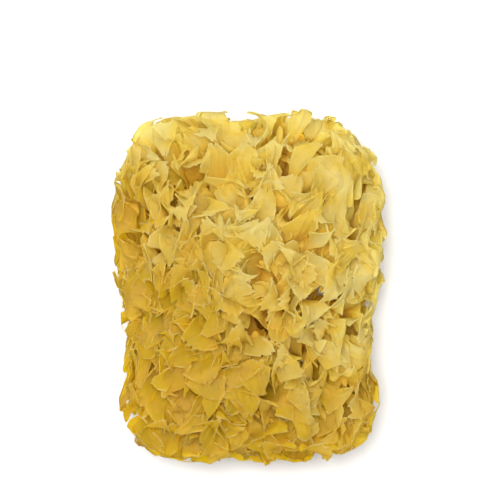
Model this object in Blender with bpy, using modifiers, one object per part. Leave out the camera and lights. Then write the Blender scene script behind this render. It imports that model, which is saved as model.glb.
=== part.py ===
"""One dried snow fungus head: ruffled fronds that fork from a tough base.

The head is dried flat like a cushion, longer along Y, and rests on the cut of its base. Twelve
main forks grow from the base, and each fork with its fronds is one piece. Lengths are in metres,
+Z is up and the origin is the middle of the cut.

A frond is a thin sheet that stands on a short arc. The arcs are laid out on a flat disc that stands
for all directions from the base, so that no two of them touch. Going outward the disc is bent
sideways by sine waves, which curls and ruffles every sheet and never lets two of them meet. At its
outer end each sheet folds over to one side, and where it then meets others of its fork they are one.
"""
import math

import bmesh
import bpy
import numpy as np

# The whole head
HEAD_WIDTH = 0.1175
HEAD_LENGTH = 0.1520
HEAD_HEIGHT = 0.0575
FROND_FLOOR = 0.0028            # how far the lowest frond stays above the cut
GROWTH_SEED = 89

# The cushion that the fronds fill
CORNER_POWER = 4.5              # 2 would be an ellipse seen from above, and more is squarer
FACE_POWER = 0.8                # 1 would be an ellipse seen from the side, and less is flatter
CORNER_RISE = 1.6               # how soon the corners show, going outward from the top
WAIST_DEPTH = 0.10              # share of the width that the waist takes away
WAIST_PLACE = -0.025
WAIST_SPREAD = 0.022
UNDER_TURN = math.radians(136)  # how far the fronds reach round to the underside
RIM_HOLD = 1.08                 # the disc's radius that no bend can pass
RIM_SHARPNESS = 8

# The base
BASE_RADIUS_X = 0.0225
BASE_RADIUS_Y = 0.0245
BASE_HEIGHT = 0.0300            # before it is cut
CUT_DEPTH = 0.0055              # what the cut takes off its underside
BASE_LUMP = 0.0009
JOINT_GAP = 0.0003              # between the base and each fork

# The forks, with sizes across as shares of the disc and depths as shares of the way outward
FORK_COUNT = 12
FORK_SPREAD = 0.90
FIRST_RING = 0.6                # leaves the middle of the disc to the first fork
STALK_RADIUS = 0.125
STALK_TAPER = 0.9
STALK_ROOT = -0.10
STALK_TOP = 0.30
GATHER_ROOT = 0.30              # how close the fronds of a fork stand at its stalk
GATHER_FROM = 0.12
GATHER_TO = 0.55

# The fronds
FROND_COUNT = 70
FROND_TRIES = 9000
FROND_THICKNESS = 0.0012
FROND_HALF_WIDTH = 0.130
FROND_SPACING = 0.046
FORK_BORDER = 0.018
DISC_EDGE = 1.03                # how far out on the disc a frond may stand
FROND_TOP = 0.88                # how far out the lowest frond reaches, as a share of the way
TOP_SPREAD = 0.14
FROND_ROOT = 0.16
ROOT_WIDTH = 0.50               # width at the root as a share of the full width
FAN_FROM = 0.1
FAN_TO = 0.55
SIDE_DROP = 0.26                # how much lower a frond ends at its sides
SIDE_POWER = 2.6
STEPS_ALONG = 3
STEPS_ACROSS = 3
STEP_CROWDING = 1.25            # 1 would space the steps along a frond evenly

# The fold of each frond's outer end to one side, where it dried pressed against its neighbours
CREST_DROP = 0.07               # how far below its top a frond starts to fold
FOLD_REACH = 0.0085
FOLD_LIFT = 0.05                # how much the fold still rises, as a share of the way outward
FOLD_SIDES = 0.75               # how far the fold reaches at its sides, as a share of the middle
FOLD_TRIES = (1.0, 0.8, 0.6, 0.4, 0.2)
LEAN_WAVES = ((0.9, 2.1, 3.3, 0.3), (0.8, -4.2, 2.2, 1.9), (0.5, 5.2, 4.9, 4.0))
LEAST_SCALE = 0.045             # metres to a unit of the disc, where the head turns under
SCALE_STEP = 0.01

# Bends: wide ones sway the fronds, and steeper ones curl their outer ends over
SWAY = {"count": 3, "waves": (0.55, 0.80), "slope": 0.5, "start": 0.1, "power": 1.5, "roll": 1.5}
CURL = {"count": 4, "waves": (0.50, 0.90), "slope": 1.3, "start": 0.3, "power": 4.0, "roll": 2.0}

GOLDEN_ANGLE = math.pi * (3 - math.sqrt(5))


def ease(low, high, value):
    """A smooth rise from 0 at low to 1 at high."""
    share = np.clip((value - low) / (high - low), 0, 1)
    return share * share * (3 - 2 * share)


def directions(spots):
    """How far out each spot of the disc lies, and its turn away from +Z and bearing round it."""
    away = np.linalg.norm(spots, axis=-1)
    held = away / (1 + (away / RIM_HOLD) ** RIM_SHARPNESS) ** (1 / RIM_SHARPNESS)
    turn = 2 * np.arcsin(held * math.sin(UNDER_TURN / 2))
    bearing = np.arctan2(spots[..., 1], spots[..., 0])
    return held, turn, bearing


def outer_places(spots):
    """Where the spots lie on the outside of the cushion."""
    held, turn, bearing = directions(spots)
    cos, sin = np.cos(bearing), np.sin(bearing)
    square = (np.abs(cos) ** CORNER_POWER + np.abs(sin) ** CORNER_POWER) ** (-1 / CORNER_POWER)
    corner = 1 + (square - 1) * np.clip(held * CORNER_RISE, 0, 1) ** 2
    reach = np.abs(np.sin(turn)) ** FACE_POWER * corner
    y = HEAD_LENGTH / 2 * reach * sin
    waist = 1 - WAIST_DEPTH * np.exp(-((y - WAIST_PLACE) / WAIST_SPREAD) ** 2)
    x = HEAD_WIDTH / 2 * reach * cos * waist
    rise = np.sign(np.cos(turn)) * np.abs(np.cos(turn)) ** FACE_POWER
    z = (HEAD_HEIGHT + FROND_FLOOR) / 2 + (HEAD_HEIGHT - FROND_FLOOR) / 2 * rise
    return np.stack([x, y, z], axis=-1)


def base_places(spots):
    """Where the spots lie on the round of the base."""
    turn, bearing = directions(spots)[1:]
    x = BASE_RADIUS_X * np.sin(turn) * np.cos(bearing)
    y = BASE_RADIUS_Y * np.sin(turn) * np.sin(bearing)
    z = BASE_HEIGHT / 2 * (1 + np.cos(turn)) - CUT_DEPTH
    return np.stack([x, y, z], axis=-1)


def fork_centres():
    """Middles of the forks on the disc, spread evenly like the seeds of a sunflower."""
    number = np.arange(FORK_COUNT)
    away = FORK_SPREAD * np.sqrt(number / (FORK_COUNT - FIRST_RING))
    bearing = number * GOLDEN_ANGLE
    return np.stack([away * np.cos(bearing), away * np.sin(bearing)], axis=-1)


def make_bends(random, habit):
    """Waves that each move the disc along one way, by a sine of the place across that way."""
    bends = []
    shortest, longest = habit["waves"]
    for number in range(habit["count"]):
        heading = number * GOLDEN_ANGLE + 0.6 * random.random()
        wave = shortest + (longest - shortest) * random.random()
        bends.append({
            "way": np.array([math.cos(heading), math.sin(heading)]),
            "rate": 2 * math.pi / wave,
            "size": habit["slope"] * wave / (2 * math.pi),
            "phase": 2 * math.pi * random.random(),
            "roll": habit["roll"] * (2 * random.random() - 1),
            "start": habit["start"],
            "power": habit["power"],
        })
    return bends


def bent(spots, depths, bends, undo=False):
    """The spots after every bend, or before them. A bend grows from its start to the depth of 1."""
    spots = spots.copy()
    for bend in reversed(bends) if undo else bends:
        way = bend["way"]
        across = spots[..., 1] * way[0] - spots[..., 0] * way[1]
        growth = np.clip((depths - bend["start"]) / (1 - bend["start"]), 0, None) ** bend["power"]
        move = bend["size"] * growth * np.sin(bend["rate"] * across + bend["roll"] * depths + bend["phase"])
        spots += (-move if undo else move)[..., None] * way
    return spots


def places_of(spots, depths):
    """Where bent spots lie in the head at their depths: 0 on the base and 1 on the outside."""
    inner = base_places(spots)
    return inner + (outer_places(spots) - inner) * depths[..., None]


def arc_spots(frond, across):
    """Spots along a frond's arc, for places across it from -1 to 1."""
    along = frond["half"] * across
    sideways = frond["bow"] * frond["half"] * (across ** 2 - 0.4)
    cos, sin = math.cos(frond["heading"]), math.sin(frond["heading"])
    x = frond["middle"][0] + cos * along - sin * sideways
    y = frond["middle"][1] + sin * along + cos * sideways
    return np.stack([x, y], axis=-1)


def fork_room(spots, centres):
    """Which fork owns each spot of the disc, and how far it lies inside that fork's border."""
    distances = np.linalg.norm(spots[:, None] - centres, axis=-1)
    nearest, second = np.sort(distances, axis=1)[:, :2].T
    return np.argmin(distances, axis=1), (second - nearest) / 2


def plan_fronds(random, centres):
    """Arcs on the disc that keep clear of each other and of the borders between forks."""
    across = np.linspace(-1, 1, 13)
    fronds = []
    taken = np.full((1, 2), 9.0)
    for attempt in range(FROND_TRIES):
        if len(fronds) == FROND_COUNT:
            break
        away = math.sqrt(random.random())
        bearing = 2 * math.pi * random.random()
        frond = {
            "middle": np.array([away * math.cos(bearing), away * math.sin(bearing)]),
            "heading": bearing + math.pi / 2 + 0.55 * random.normal(),
            "half": FROND_HALF_WIDTH * (0.75 + 0.45 * random.random()) * (1 - attempt / (2 * FROND_TRIES)),
            "bow": -0.25 + 0.35 * random.normal(),
            "top": FROND_TOP + TOP_SPREAD * random.random(),
        }
        spots = arc_spots(frond, across)
        owners, room = fork_room(spots, centres)
        if np.any(owners != owners[0]) or room.min() < FORK_BORDER:
            continue
        if np.linalg.norm(spots, axis=-1).max() > DISC_EDGE:
            continue
        if np.linalg.norm(spots[:, None] - taken, axis=-1).min() < FROND_SPACING:
            continue
        frond["fork"] = int(owners[0])
        fronds.append(frond)
        taken = np.vstack([taken, spots])
    return fronds


def plan_head(seed):
    """The middles of the forks, the fronds and the bends of one head."""
    centres = fork_centres()
    fronds = plan_fronds(np.random.default_rng(seed), centres)
    random = np.random.default_rng([seed, 1])
    bends = make_bends(random, SWAY) + make_bends(random, CURL)
    return centres, fronds, bends


def make_material(name, colour, roughness):
    material = bpy.data.materials.new(name)
    material.use_nodes = True
    shader = material.node_tree.nodes["Principled BSDF"]
    shader.inputs["Base Color"].default_value = (*colour, 1.0)
    shader.inputs["Roughness"].default_value = roughness
    shader.inputs["Metallic"].default_value = 0.0
    return material


def make_object(name, shape, collection):
    mesh = bpy.data.meshes.new(name)
    shape.to_mesh(mesh)
    shape.free()
    made = bpy.data.objects.new(name, mesh)
    collection.objects.link(made)
    return made


def make_helper(name, shape, collection):
    """A solid that is only cut away from, or grown onto, another."""
    helper = make_object(name, shape, collection)
    helper.hide_render = True
    helper.display_type = "WIRE"
    return helper


def add_boolean(target, operation, other):
    """A cut or a join. The fronds cross each other closely, which the exact solver drops."""
    modifier = target.modifiers.new(operation.lower(), "BOOLEAN")
    modifier.operation = operation
    modifier.solver = "MANIFOLD"
    modifier.object = other


def base_shape(swell):
    """The lumpy round of the base before it is cut, larger all round by swell."""
    shape = bmesh.new()
    bmesh.ops.create_uvsphere(shape, u_segments=20, v_segments=10, radius=1)
    for vertex in shape.verts:
        x, y, z = vertex.co
        lump = BASE_LUMP * math.sin(4 * x + 3 * y) * math.cos(5 * y - 2 * z) * (1 - z * z)
        vertex.co.x = x * (BASE_RADIUS_X + lump + swell)
        vertex.co.y = y * (BASE_RADIUS_Y + lump + swell)
        vertex.co.z = BASE_HEIGHT / 2 - CUT_DEPTH + z * (BASE_HEIGHT / 2 + swell)
    return shape


def make_base(collection, material):
    """The tough base, sliced flat where the head was cut from its log."""
    shape = base_shape(0)
    everything = shape.verts[:] + shape.edges[:] + shape.faces[:]
    cut = bmesh.ops.bisect_plane(
        shape, geom=everything, plane_co=(0, 0, 0), plane_no=(0, 0, -1), clear_outer=True)
    rim = [item for item in cut["geom_cut"] if isinstance(item, bmesh.types.BMEdge)]
    bmesh.ops.holes_fill(shape, edges=rim)
    base = make_object("base", shape, collection)
    base.data.shade_smooth()
    base.data.set_sharp_from_angle(angle=math.radians(50))
    base.data.materials.append(material)


def stalk_shape(centre, bends):
    """The stalk of a fork, from inside the base to where its fronds part."""
    shape = bmesh.new()
    bmesh.ops.create_cone(
        shape, cap_ends=True, segments=7, radius1=STALK_RADIUS * STALK_TAPER, radius2=STALK_RADIUS, depth=1)
    spots = centre + np.array([vertex.co.xy for vertex in shape.verts])
    shares = np.array([vertex.co.z for vertex in shape.verts]) + 0.5
    depths = STALK_ROOT + (STALK_TOP - STALK_ROOT) * shares
    for vertex, place in zip(shape.verts, places_of(bent(spots, depths, bends), depths)):
        vertex.co = place
    return shape


def lean_side(frond):
    """Which side of its arc a frond folds over to: about outward, and turning from place to place."""
    x, y = frond["middle"]
    angle = math.atan2(y, x)
    for size, rate_x, rate_y, phase in LEAN_WAVES:
        angle += size * math.sin(rate_x * x + rate_y * y + phase)
    return 1 if math.cos(frond["heading"] + math.pi / 2 - angle) > 0 else -1


def folded(crest, depths, frond, centres, bends):
    """The bent spots of a crest moved sideways as the frond folds over, as far as its fork has room."""
    along = np.gradient(crest, axis=0)
    along /= np.linalg.norm(along, axis=-1, keepdims=True)
    normal = lean_side(frond) * np.stack([-along[:, 1], along[:, 0]], axis=-1)
    moved = places_of(crest + SCALE_STEP * normal, depths) - places_of(crest - SCALE_STEP * normal, depths)
    scale = np.maximum(np.linalg.norm(moved, axis=-1) / (2 * SCALE_STEP), LEAST_SCALE)
    reach = np.full(len(crest), FOLD_REACH)
    reach[[0, -1]] *= FOLD_SIDES
    whole = (reach / scale)[:, None] * normal
    for share in FOLD_TRIES + tuple(-share for share in FOLD_TRIES):
        owners, room = fork_room(bent(crest + share * whole, depths, bends, undo=True), centres)
        if np.all(owners == frond["fork"]) and room.min() > FORK_BORDER:
            return crest + share * whole
    return crest


def frond_shape(frond, centres, bends):
    """The sheet of a frond, a fan from inside the stalk up to its crest, past which it folds over."""
    shape = bmesh.new()
    bmesh.ops.create_grid(shape, x_segments=STEPS_ACROSS, y_segments=STEPS_ALONG + 1, size=1)
    across = np.linspace(-1, 1, STEPS_ACROSS + 1)
    shares = np.linspace(0, 1, STEPS_ALONG + 1)[:, None]
    crests = frond["top"] * (1 - SIDE_DROP * np.abs(across) ** SIDE_POWER) - CREST_DROP
    depths = FROND_ROOT + (crests - FROND_ROOT) * (1 - (1 - shares) ** STEP_CROWDING)
    widths = ROOT_WIDTH + (1 - ROOT_WIDTH) * ease(FAN_FROM, FAN_TO, depths)
    spots = frond["middle"] + (arc_spots(frond, across) - frond["middle"]) * widths[..., None]
    gathers = GATHER_ROOT + (1 - GATHER_ROOT) * ease(GATHER_FROM, GATHER_TO, depths)
    centre = centres[frond["fork"]]
    spots = bent(centre + (spots - centre) * gathers[..., None], depths, bends)
    ends = np.minimum(crests + FOLD_LIFT, 1)
    spots = np.concatenate([spots, [folded(spots[-1], ends, frond, centres, bends)]])
    places = places_of(spots, np.concatenate([depths, [ends]]))
    for vertex, place in zip(shape.verts, places.reshape(-1, 3)):
        vertex.co = place
    return shape


def settle(grown):
    """Turns the grown piece into one plain mesh, and fills any pocket sealed between its fronds."""
    settled = grown.evaluated_get(bpy.context.evaluated_depsgraph_get())
    mesh = bpy.data.meshes.new_from_object(settled)
    grown.modifiers.clear()
    grown.data = mesh
    shape = bmesh.new()
    shape.from_mesh(mesh)
    skins = []
    left = set(shape.faces)
    while left:
        skin = {left.pop()}
        front = skin
        while front:
            front = {face for old in front for edge in old.edges for face in edge.link_faces} - skin
            skin |= front
        left -= skin
        skins.append(skin)
    outside = max(skins, key=len)
    bmesh.ops.delete(shape, geom=[face for face in shape.faces if face not in outside], context="FACES")
    shape.to_mesh(mesh)
    shape.free()


def make_fork(number, centres, fronds, bends, collection, helpers, material):
    """One main fork: its stalk with its fronds grown from it, cut clear of the base."""
    name = f"frond_cluster_{number + 1:02d}"
    fork = make_object(name, stalk_shape(centres[number], bends), collection)
    sheets = []
    for frond in fronds:
        if frond["fork"] != number:
            continue
        sheet = make_helper(f"{name}_sheet_{len(sheets) + 1}", frond_shape(frond, centres, bends), helpers)
        thickness = sheet.modifiers.new("thickness", "SOLIDIFY")
        thickness.thickness = FROND_THICKNESS
        thickness.offset = 0
        add_boolean(fork, "UNION", sheet)
        sheets.append(sheet)
    add_boolean(fork, "DIFFERENCE", helpers.objects["base_clearance"])
    settle(fork)
    fork.data.materials.clear()
    fork.data.materials.append(material)
    for sheet in sheets:
        bpy.data.objects.remove(sheet)


def main():
    for old in list(bpy.data.objects):
        bpy.data.objects.remove(old)
    head = bpy.data.collections.new("dried_snow_fungus")
    helpers = bpy.data.collections.new("cutters")
    bpy.context.scene.collection.children.link(head)
    bpy.context.scene.collection.children.link(helpers)

    base_material = make_material("dried base", (0.48, 0.25, 0.055), 0.75)
    frond_material = make_material("dried frond", (0.66, 0.40, 0.085), 0.55)
    make_base(head, base_material)
    make_helper("base_clearance", base_shape(JOINT_GAP), helpers)
    centres, fronds, bends = plan_head(GROWTH_SEED)
    for number in range(FORK_COUNT):
        make_fork(number, centres, fronds, bends, head, helpers, frond_material)


main()
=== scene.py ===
"""One dried snow fungus head on its frame: crisp, thin, lobed fronds around a hard cut base.

Lengths are in metres, +Z is up and the origin is the middle of the cut, as in the frame. The head
lies as it was dried and pressed, longer along Y.
"""
import math

import bmesh
import bpy
import numpy as np
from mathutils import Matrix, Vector


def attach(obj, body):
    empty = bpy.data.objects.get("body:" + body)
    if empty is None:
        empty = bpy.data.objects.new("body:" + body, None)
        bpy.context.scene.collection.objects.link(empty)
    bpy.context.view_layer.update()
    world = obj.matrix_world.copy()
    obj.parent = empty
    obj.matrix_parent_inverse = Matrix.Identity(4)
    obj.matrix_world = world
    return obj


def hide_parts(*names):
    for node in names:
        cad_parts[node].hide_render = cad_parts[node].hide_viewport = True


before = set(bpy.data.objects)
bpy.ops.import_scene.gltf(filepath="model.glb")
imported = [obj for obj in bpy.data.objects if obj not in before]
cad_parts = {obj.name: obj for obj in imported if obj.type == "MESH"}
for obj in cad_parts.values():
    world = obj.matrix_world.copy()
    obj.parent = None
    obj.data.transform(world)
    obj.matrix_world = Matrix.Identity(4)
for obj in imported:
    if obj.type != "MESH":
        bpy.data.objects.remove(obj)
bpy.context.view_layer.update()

# The cut base
# The base is the hard knot that the head grew from. It has dried to an amber rind with shallow
# wrinkles, and it was sliced off its log, so it stands flat on a slightly fibrous cut.

BASE_RADIUS_X = 0.0225
BASE_RADIUS_Y = 0.0245
BASE_HEIGHT = 0.0300
CUT_DEPTH = 0.0055
BASE_LUMP = 0.0009
BASE_SPLITS = 6
BASE_WRINKLE = 0.0006
BASE_WRINKLE_WAVE = 0.0045
CUT_RIM_ANGLE = math.radians(50)

RIND_AMBER = (0.62, 0.33, 0.045, 1)
RIND_BROWN = (0.40, 0.18, 0.026, 1)
# Painted shade: the colour that the creases of the rind are darkened to
RIND_CREASE_SHADE = (0.28, 0.11, 0.018, 1)
CREASE_WARP = (0.005, 0.005, 0.005)
CREASE_HEIGHT = -0.5            # beside a crumple that counts as 1
MOTTLE_SHARE = 0.45             # beside a patch that counts as 1


def add_node(tree, kind, **settings):
    """A new node of a tree, with its settings and the values of its named inputs."""
    node = tree.nodes.new(kind)
    for name, value in settings.items():
        if name == "values":
            for socket, given in value.items():
                node.inputs[socket].default_value = given
        else:
            setattr(node, name, value)
    return node


def new_group(name, inputs, outputs):
    """An empty node group with its sockets, and its two end nodes."""
    tree = bpy.data.node_groups.new(name, "ShaderNodeTree")
    for socket, kind, value in inputs:
        made = tree.interface.new_socket(socket, in_out="INPUT", socket_type=kind)
        if value is not None:
            made.default_value = value
    for socket, kind in outputs:
        tree.interface.new_socket(socket, in_out="OUTPUT", socket_type=kind)
    return tree, tree.nodes.new("NodeGroupInput"), tree.nodes.new("NodeGroupOutput")


def dried_wrinkle_group():
    """Wrinkles that come with drying: a fine crumple crossed by a net of sharper creases."""
    tree, given, out = new_group(
        "dried wrinkles",
        [("Place", "NodeSocketVector", None), ("Crumple Scale", "NodeSocketFloat", 600.0),
         ("Crease Scale", "NodeSocketFloat", 200.0), ("Crease Width", "NodeSocketFloat", 0.12)],
        [("Height", "NodeSocketFloat"), ("Crease", "NodeSocketFloat")],
    )
    warp = add_node(tree, "ShaderNodeTexNoise", values={"Scale": 150.0, "Detail": 2.0})
    shift = add_node(tree, "ShaderNodeVectorMath", operation="MULTIPLY_ADD")
    shift.inputs[1].default_value = CREASE_WARP
    crumple = add_node(tree, "ShaderNodeTexNoise", values={"Detail": 4.0, "Roughness": 0.6})
    net = add_node(tree, "ShaderNodeTexVoronoi", feature="DISTANCE_TO_EDGE")
    crease = add_node(tree, "ShaderNodeMapRange", interpolation_type="SMOOTHSTEP",
                      values={"To Min": 1.0, "To Max": 0.0})
    drop = add_node(tree, "ShaderNodeMath", operation="MULTIPLY_ADD")
    drop.inputs[1].default_value = CREASE_HEIGHT
    tree.links.new(given.outputs["Place"], warp.inputs["Vector"])
    tree.links.new(warp.outputs["Color"], shift.inputs[0])
    tree.links.new(given.outputs["Place"], shift.inputs[2])
    for texture, scale in ((crumple, "Crumple Scale"), (net, "Crease Scale")):
        tree.links.new(shift.outputs["Vector"], texture.inputs["Vector"])
        tree.links.new(given.outputs[scale], texture.inputs["Scale"])
    tree.links.new(net.outputs["Distance"], crease.inputs["Value"])
    tree.links.new(given.outputs["Crease Width"], crease.inputs["From Max"])
    tree.links.new(crease.outputs["Result"], drop.inputs[0])
    tree.links.new(crumple.outputs["Fac"], drop.inputs[2])
    tree.links.new(drop.outputs["Value"], out.inputs["Height"])
    tree.links.new(crease.outputs["Result"], out.inputs["Crease"])
    return tree


def aged_colour_group():
    """Colour that ages in patches, as dried fungus does, with a finer mottle inside them."""
    tree, given, out = new_group(
        "aged colour",
        [("Place", "NodeSocketVector", None), ("Fresh", "NodeSocketColor", None),
         ("Aged", "NodeSocketColor", None), ("Patch Scale", "NodeSocketFloat", 30.0),
         ("Mottle Scale", "NodeSocketFloat", 220.0), ("Age", "NodeSocketFloat", 0.0)],
        [("Colour", "NodeSocketColor")],
    )
    patch = add_node(tree, "ShaderNodeTexNoise", values={"Detail": 1.0})
    mottle = add_node(tree, "ShaderNodeTexNoise", values={"Detail": 3.0})
    joined = add_node(tree, "ShaderNodeMath", operation="MULTIPLY_ADD")
    joined.inputs[1].default_value = MOTTLE_SHARE
    older = add_node(tree, "ShaderNodeMath", operation="ADD")
    share = add_node(tree, "ShaderNodeMapRange", interpolation_type="SMOOTHSTEP",
                     values={"From Min": 0.52, "From Max": 0.86})
    colour = add_node(tree, "ShaderNodeMix", data_type="RGBA")
    for texture, scale in ((patch, "Patch Scale"), (mottle, "Mottle Scale")):
        tree.links.new(given.outputs["Place"], texture.inputs["Vector"])
        tree.links.new(given.outputs[scale], texture.inputs["Scale"])
    tree.links.new(mottle.outputs["Fac"], joined.inputs[0])
    tree.links.new(patch.outputs["Fac"], joined.inputs[2])
    tree.links.new(joined.outputs["Value"], older.inputs[0])
    tree.links.new(given.outputs["Age"], older.inputs[1])
    tree.links.new(older.outputs["Value"], share.inputs["Value"])
    tree.links.new(share.outputs["Result"], colour.inputs["Factor"])
    tree.links.new(given.outputs["Fresh"], colour.inputs["A"])
    tree.links.new(given.outputs["Aged"], colour.inputs["B"])
    tree.links.new(colour.outputs["Result"], out.inputs["Colour"])
    return tree


wrinkles = dried_wrinkle_group()
ageing = aged_colour_group()


def add_group(tree, group, place, **values):
    """A group placed in a material, fed with the place on the object."""
    node = add_node(tree, "ShaderNodeGroup", node_tree=group)
    for socket, value in values.items():
        node.inputs[socket.replace("_", " ")].default_value = value
    tree.links.new(place.outputs["Object"], node.inputs["Place"])
    return node


def rind_material():
    """The dried rind: amber to brown and dull, with painted shade that darkens it down in its creases."""
    material = bpy.data.materials.new("dried rind")
    material.use_nodes = True
    tree = material.node_tree
    shader = tree.nodes["Principled BSDF"]
    place = add_node(tree, "ShaderNodeTexCoord")
    folds = add_group(tree, wrinkles, place, Crumple_Scale=420.0, Crease_Scale=260.0, Crease_Width=0.10)
    colour = add_group(tree, ageing, place, Fresh=RIND_AMBER, Aged=RIND_BROWN, Patch_Scale=90.0,
                       Mottle_Scale=500.0, Age=0.05)
    # Painted shade: the rind is darkened along its creases
    crease_shaded = add_node(tree, "ShaderNodeMix", data_type="RGBA", values={"B": RIND_CREASE_SHADE})
    rough = add_node(tree, "ShaderNodeMapRange", values={"To Min": 0.62, "To Max": 0.88})
    bump = add_node(tree, "ShaderNodeBump", values={"Strength": 0.8, "Distance": 0.0006})
    tree.links.new(folds.outputs["Crease"], crease_shaded.inputs["Factor"])
    tree.links.new(colour.outputs["Colour"], crease_shaded.inputs["A"])
    tree.links.new(crease_shaded.outputs["Result"], shader.inputs["Base Color"])
    tree.links.new(folds.outputs["Height"], rough.inputs["Value"])
    tree.links.new(rough.outputs["Result"], shader.inputs["Roughness"])
    tree.links.new(folds.outputs["Height"], bump.inputs["Height"])
    tree.links.new(bump.outputs["Normal"], shader.inputs["Normal"])
    return material


def base_mesh():
    """The lumpy knot, with wrinkles pressed into it, and everything below the cut brought up to it."""
    shape = bmesh.new()
    bmesh.ops.create_icosphere(shape, subdivisions=BASE_SPLITS, radius=1)
    rate = 2 * math.pi / BASE_WRINKLE_WAVE
    for vertex in shape.verts:
        x, y, z = vertex.co
        lump = BASE_LUMP * math.sin(4 * x + 3 * y) * math.cos(5 * y - 2 * z) * (1 - z * z)
        place = Vector((x * (BASE_RADIUS_X + lump), y * (BASE_RADIUS_Y + lump),
                        BASE_HEIGHT / 2 - CUT_DEPTH + z * BASE_HEIGHT / 2))
        turned = math.sin(rate * place.x + 2 * math.sin(rate * place.z / 3))
        crossed = math.sin(rate * place.y + 2 * math.cos(rate * place.x / 3))
        place -= BASE_WRINKLE * (1 - abs(turned * crossed)) ** 3 * vertex.co
        place.z = max(place.z, 0)
        vertex.co = place
    mesh = bpy.data.meshes.new("base_rind")
    shape.to_mesh(mesh)
    shape.free()
    mesh.shade_smooth()
    mesh.set_sharp_from_angle(angle=CUT_RIM_ANGLE)
    return mesh


def show_piece(mesh, node):
    """A piece shown in place of a node of the frame, hung on the frame's root, with that node hidden."""
    piece = bpy.data.objects.new(mesh.name, mesh)
    bpy.context.scene.collection.objects.link(piece)
    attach(piece, "root")
    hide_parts(node)
    return piece


rind = base_mesh()
rind.materials.append(rind_material())
show_piece(rind, "base")

# The fronds
# A frond is a membrane of dried jelly, at most half a millimetre thick and paler towards its
# margin, partly by its own colour and partly by a painted highlight along it. It fans out from
# one of twelve stalks, is ruffled all the way out, and ends in rounded lobes that dried folded
# over to one side or the other. Side lobes branch off its faces.

HEAD_WIDTH = 0.1175
HEAD_LENGTH = 0.1520
HEAD_HEIGHT = 0.0575
FROND_FLOOR = 0.0028
GROWTH_SEED = 89
CORNER_POWER = 4.5
FACE_POWER = 0.8
CORNER_RISE = 1.6
WAIST_DEPTH = 0.10
WAIST_PLACE = -0.025
WAIST_SPREAD = 0.022
UNDER_TURN = math.radians(136)
RIM_HOLD = 1.08
RIM_SHARPNESS = 8

FORK_COUNT = 12
FORK_SPREAD = 0.90
FIRST_RING = 0.6
STALK_RADIUS = 0.125
STALK_TAPER = 0.9
STALK_ROOT = -0.10
STALK_TOP = 0.30
GATHER_ROOT = 0.30
GATHER_FROM = 0.12
GATHER_TO = 0.55

FROND_COUNT = 70
FROND_TRIES = 9000
FROND_HALF_WIDTH = 0.130
FROND_SPACING = 0.046
FORK_BORDER = 0.018
DISC_EDGE = 1.03
FROND_TOP = 0.88
TOP_SPREAD = 0.14
FROND_ROOT = 0.16
ROOT_WIDTH = 0.50
FAN_FROM = 0.1
FAN_TO = 0.55
SIDE_DROP = 0.26
SIDE_POWER = 2.6
HEADING_SPREAD = 0.55           # about across the way outward
LENGTH_LEAST = 0.75
LENGTH_SPREAD = 0.45
BOW_USUAL = -0.25
BOW_SPREAD = 0.35
BOW_BALANCE = 0.4
LEAN_WAVES = ((0.9, 2.1, 3.3, 0.3), (0.8, -4.2, 2.2, 1.9), (0.5, 5.2, 4.9, 4.0))
LEAST_SCALE = 0.045             # metres to a unit of the disc, where the head turns under
SCALE_STEP = 0.01
FROND_SAMPLES = 13
COVER_SAMPLES = 17
THIN_SAMPLES = 9
BEND_JITTER = 0.6
SWAY = {"count": 3, "waves": (0.55, 0.80), "slope": 0.5, "start": 0.1, "power": 1.5, "roll": 1.5}
CURL = {"count": 4, "waves": (0.50, 0.90), "slope": 1.3, "start": 0.3, "power": 4.0, "roll": 2.0}
RUFFLE = {"count": 5, "waves": (0.18, 0.32), "slope": 0.45, "start": 0.2, "power": 1.5, "roll": 4.0}
CURL_LIMIT = 0.88               # the depth past which the bends hardly grow
CURL_AFTER = 0.25
GOLDEN_ANGLE = math.pi * (3 - math.sqrt(5))
FAR_OFF = 9.0                   # a place with nothing near it

# Thinner fronds in the gaps between the main ones, with half widths and spacings in metres
THIN_FRONDS = (
    {"half": 0.0105, "spacing": 0.0036, "border": 0.003, "count": 150},
    {"half": 0.0062, "spacing": 0.0026, "border": 0.002, "count": 260},
)
THIN_TRIES = 9000
THIN_EDGE = 1.02
THIN_CROWDING = 0.75            # 0.5 would spread them evenly over the disc, and 1 crowds its middle
THIN_END_EDGE = 1.06
THIN_LENGTH_LEAST = 0.7
THIN_LENGTH_SPREAD = 0.6
THIN_BOW_USUAL = -0.2
THIN_BOW_SPREAD = 0.5
THIN_TOP = 0.82
THIN_TOP_SPREAD = 0.13

# How a frond rises to its crest and its lobes fold over, as depths and metres
CREST_DROP = 0.10
CREST_WAVE = 0.06
LOBE_DEPTH = 0.93
LOBE_WIDTH = 0.0085
FOLD_REACH = 0.0085
THIN_FOLD_REACH = 0.0080
FOLD_LEAST = 0.7
FOLD_SPREAD = 0.6
NOTCH_REACH = 0.08              # of a fold's reach, in the notch between two lobes
LOBE_REACH_LEAST = 0.5
LOBE_REACH_SPREAD = 0.8
END_REACH = 0.3                 # of a fold's reach, at the ends of a frond
SCALLOP_DEPTH = 0.20
CREST_NICK = 0.10
LOBE_SINK = -0.02
LOBE_TILT = 0.14
FOLD_RUFFLE = 0.006
FOLD_CURL = 0.03
CURL_BACK = 0.3                 # of the folds curl inward at their margin
CURL_POWER = 4
RUFFLE_POWER = 1.5
RUFFLE_LAG = 1.5
SHORT_RUFFLE_SHARE = 0.6
RISE_CROWDING = 0.9
RISE_POWER = 1.15
FOLD_POWER = 1.2
END_POWER = 4
LONG_RUFFLES = (0.0035, 0.003)  # the least length of a ruffle, and what chance adds to it
SHORT_RUFFLES = (0.0021, 0.001)
GUIDE_COUNT = 41
FROND_COLUMNS = (9, 56)
FROND_ROWS = (8, 11)            # up to the crest, and past it
THIN_ROWS = (6, 9)

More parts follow.
